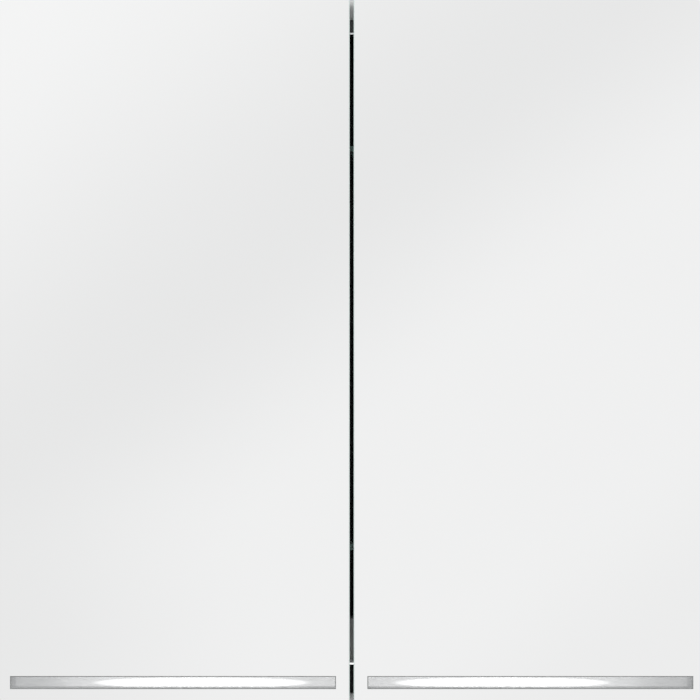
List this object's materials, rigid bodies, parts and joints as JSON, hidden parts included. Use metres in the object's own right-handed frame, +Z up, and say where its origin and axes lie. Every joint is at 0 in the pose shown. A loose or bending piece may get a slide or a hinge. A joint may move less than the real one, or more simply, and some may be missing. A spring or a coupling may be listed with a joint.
{
  "type": "mirrored medicine cabinet",
  "caption": "Wall-hung bathroom cabinet with frameless mirrored doors on concealed hinges, a lit frosted strip low in each door, glass shelves inside and a rail for hanging it.",
  "frame": {"origin": "on the wall plane, midway between the two slotted screw holes of the hanging rail", "axes": "+X to the right seen from the front, +Y towards the wall, +Z up; the doors face -Y"},
  "size_m": [0.7, 0.15, 0.7],
  "materials": {
    "board": "white laminate on board",
    "back_board": "thin board, lacquered dark grey inside",
    "zinc_steel": "bright zinc plate",
    "white_plastic": "fine satin",
    "grey_rubber": "matt",
    "clear_rubber": "clear soft buffer",
    "shelf_glass": "clear float glass, ground edges",
    "white_metal": "white powder coat",
    "bright_reflector": "bright rolled sheet",
    "opal_cover": "opal sheet",
    "lamp_glass": "opal coated",
    "lamp_cap": "satin",
    "ballast_case": "moulded",
    "switch_plastic": "gloss white",
    "hinge_nickel": "nickel plate",
    "mirror": "silvered glass",
    "light_guide": "clear, satin face",
    "edge_aluminium": "satin anodised"
  },
  "bodies": {
    "cabinet": {"back_panel": "back_board", "ballast": "ballast_case", "bottom_panel": "board", "cable_grommet": "grey_rubber", "carcass_screws": "zinc_steel", "door_buffers": "clear_rubber", "hanger_screws": "zinc_steel", "hinge_plate_screws": "hinge_nickel", "lamp_end_caps": "lamp_cap", "lamp_holders": "white_plastic", "left_hanger": "white_plastic", "left_hanger_hook": "zinc_steel", "left_lamp_tube": "lamp_glass", "left_lower_hinge_arm": "hinge_nickel", "left_lower_hinge_plate": "hinge_nickel", "left_side_panel": "board", "left_upper_hinge_arm": "hinge_nickel", "left_upper_hinge_plate": "hinge_nickel", "light_cover": "opal_cover", "light_housing": "white_metal", "light_reflector": "bright_reflector", "lower_shelf": "shelf_glass", "lower_shelf_pegs": "zinc_steel", "right_hanger": "white_plastic", "right_hanger_hook": "zinc_steel", "right_lamp_tube": "lamp_glass", "right_lower_hinge_arm": "hinge_nickel", "right_lower_hinge_plate": "hinge_nickel", "right_side_panel": "board", "right_upper_hinge_arm": "hinge_nickel", "right_upper_hinge_plate": "hinge_nickel", "screw_caps": "white_plastic", "switch_bezel": "switch_plastic", "switch_case": "white_plastic", "terminal_block": "white_plastic", "top_panel": "board", "upper_shelf": "shelf_glass", "upper_shelf_pegs": "zinc_steel", "wall_rail": "zinc_steel", "wall_spacers": "grey_rubber"},
    "left_door": {"left_door_mirror": "mirror", "left_door_core": "board", "left_door_edge_trim": "edge_aluminium", "left_door_light_guide": "light_guide", "left_door_inner_mirror": "mirror", "left_upper_hinge_cup": "hinge_nickel", "left_lower_hinge_cup": "hinge_nickel", "left_hinge_pins": "hinge_nickel", "left_hinge_cup_screws": "hinge_nickel"},
    "right_door": {"right_door_mirror": "mirror", "right_door_core": "board", "right_door_edge_trim": "edge_aluminium", "right_door_light_guide": "light_guide", "right_door_inner_mirror": "mirror", "right_upper_hinge_cup": "hinge_nickel", "right_lower_hinge_cup": "hinge_nickel", "right_hinge_pins": "hinge_nickel", "right_hinge_cup_screws": "hinge_nickel"},
    "switch_rocker": {"switch_rocker": "switch_plastic"}
  },
  "joints": [
    {"name": "left_door_hinge", "type": "hinge", "parent": "cabinet", "child": "left_door", "pos_m": [-0.343, -0.14, -0.3], "axis": [0, 0, -1], "range_deg": [0, 100]},
    {"name": "right_door_hinge", "type": "hinge", "parent": "cabinet", "child": "right_door", "pos_m": [0.343, -0.14, -0.3], "axis": [0, 0, 1], "range_deg": [0, 100]},
    {"name": "switch_rocker_tilt", "type": "hinge", "parent": "cabinet", "child": "switch_rocker", "pos_m": [0.03, -0.116, -0.5825], "axis": [-1, 0, 0], "range_deg": [0, 14]}
  ]
}
